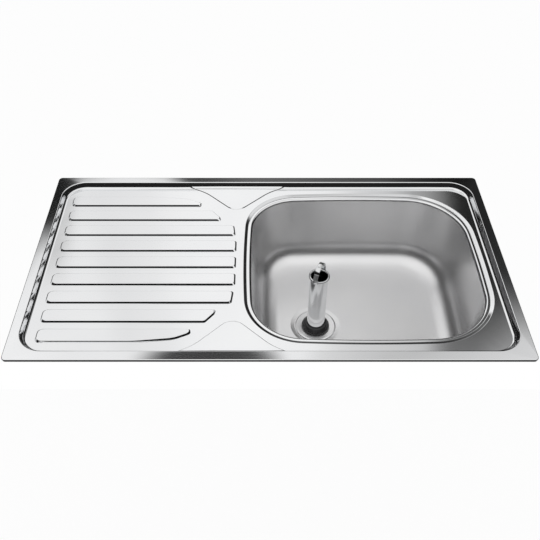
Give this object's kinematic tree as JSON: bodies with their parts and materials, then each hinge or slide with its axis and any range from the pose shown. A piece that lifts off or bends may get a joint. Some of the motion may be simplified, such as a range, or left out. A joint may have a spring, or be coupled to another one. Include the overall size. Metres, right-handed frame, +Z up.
{
  "type": "kitchen sink with drainboard",
  "caption": "Inset steel sink with one deep bowl, a ribbed drainboard, a standpipe overflow that lifts out of its waste, and fixing clamps under the rim.",
  "frame": {"origin": "middle of the sink's outline on the worktop's surface", "axes": "+X towards the bowl, +Y towards the wall behind the sink, +Z up"},
  "size_m": [0.78, 0.435, 0.21],
  "materials": {
    "polished_steel": "rolled steel with a bright, faintly brushed surface",
    "satin_steel": "deep-drawn steel with a satin surface",
    "chrome_plate": "bright chrome plate",
    "zinc_steel": "dull zinc plate",
    "black_rubber": "smooth black rubber",
    "white_plastic": "moulded white plastic",
    "seal_foam": "closed-cell foam strip",
    "damping_pad": "dull bitumen damping sheet"
  },
  "bodies": {
    "root": {"sink_top": "polished_steel", "bowl": "satin_steel", "rim_seal": "seal_foam", "sound_pad": "damping_pad", "waste_flange": "polished_steel", "flange_gasket": "black_rubber", "lower_gasket": "black_rubber", "slip_washer": "white_plastic", "backnut": "white_plastic", "rail_front": "zinc_steel", "rail_back": "zinc_steel", "rail_left": "zinc_steel", "rail_right": "zinc_steel", "clamp_bolts": "zinc_steel"},
    "plug": {"standpipe_cone": "black_rubber"},
    "standpipe": {"standpipe_tube": "chrome_plate", "lift_strap": "chrome_plate"},
    "nut_1": {"wing_nut_1": "zinc_steel"},
    "claw_1": {"clamp_claw_1": "zinc_steel"},
    "nut_2": {"wing_nut_2": "zinc_steel"},
    "claw_2": {"clamp_claw_2": "zinc_steel"},
    "nut_3": {"wing_nut_3": "zinc_steel"},
    "claw_3": {"clamp_claw_3": "zinc_steel"},
    "nut_4": {"wing_nut_4": "zinc_steel"},
    "claw_4": {"clamp_claw_4": "zinc_steel"},
    "nut_5": {"wing_nut_5": "zinc_steel"},
    "claw_5": {"clamp_claw_5": "zinc_steel"},
    "nut_6": {"wing_nut_6": "zinc_steel"},
    "claw_6": {"clamp_claw_6": "zinc_steel"}
  },
  "joints": [
    {"name": "plug_lift", "type": "slide", "parent": "root", "child": "plug", "axis": [0, 0, 1], "range_m": [0, 0.16]},
    {"name": "standpipe_turn", "type": "hinge", "parent": "plug", "child": "standpipe", "pos_m": [0.085, -0.0196, -0.145], "axis": [0, 0, 1], "continuous": true},
    {"name": "nut_1_travel", "type": "slide", "parent": "root", "child": "nut_1", "axis": [0, 0, 1], "range_m": [-0.008, 0.012]},
    {"name": "claw_1_swing", "type": "hinge", "parent": "nut_1", "child": "claw_1", "pos_m": [-0.215, -0.191, -0.045], "axis": [0, 0, 1], "range_deg": [-90, 90]},
    {"name": "nut_2_travel", "type": "slide", "parent": "root", "child": "nut_2", "axis": [0, 0, 1], "range_m": [-0.008, 0.012]},
    {"name": "claw_2_swing", "type": "hinge", "parent": "nut_2", "child": "claw_2", "pos_m": [-0.215, 0.191, -0.045], "axis": [0, 0, 1], "range_deg": [-90, 90]},
    {"name": "nut_3_travel", "type": "slide", "parent": "root", "child": "nut_3", "axis": [0, 0, 1], "range_m": [-0.008, 0.012]},
    {"name": "claw_3_swing", "type": "hinge", "parent": "nut_3", "child": "claw_3", "pos_m": [0.215, -0.191, -0.045], "axis": [0, 0, 1], "range_deg": [-90, 90]},
    {"name": "nut_4_travel", "type": "slide", "parent": "root", "child": "nut_4", "axis": [0, 0, 1], "range_m": [-0.008, 0.012]},
    {"name": "claw_4_swing", "type": "hinge", "parent": "nut_4", "child": "claw_4", "pos_m": [0.215, 0.191, -0.045], "axis": [0, 0, 1], "range_deg": [-90, 90]},
    {"name": "nut_5_travel", "type": "slide", "parent": "root", "child": "nut_5", "axis": [0, 0, 1], "range_m": [-0.008, 0.012]},
    {"name": "claw_5_swing", "type": "hinge", "parent": "nut_5", "child": "claw_5", "pos_m": [-0.3652, 0, -0.045], "axis": [0, 0, 1], "range_deg": [-90, 90]},
    {"name": "nut_6_travel", "type": "slide", "parent": "root", "child": "nut_6", "axis": [0, 0, 1], "range_m": [-0.008, 0.012]},
    {"name": "claw_6_swing", "type": "hinge", "parent": "nut_6", "child": "claw_6", "pos_m": [0.3652, 0, -0.045], "axis": [0, 0, 1], "range_deg": [-90, 90]}
  ]
}
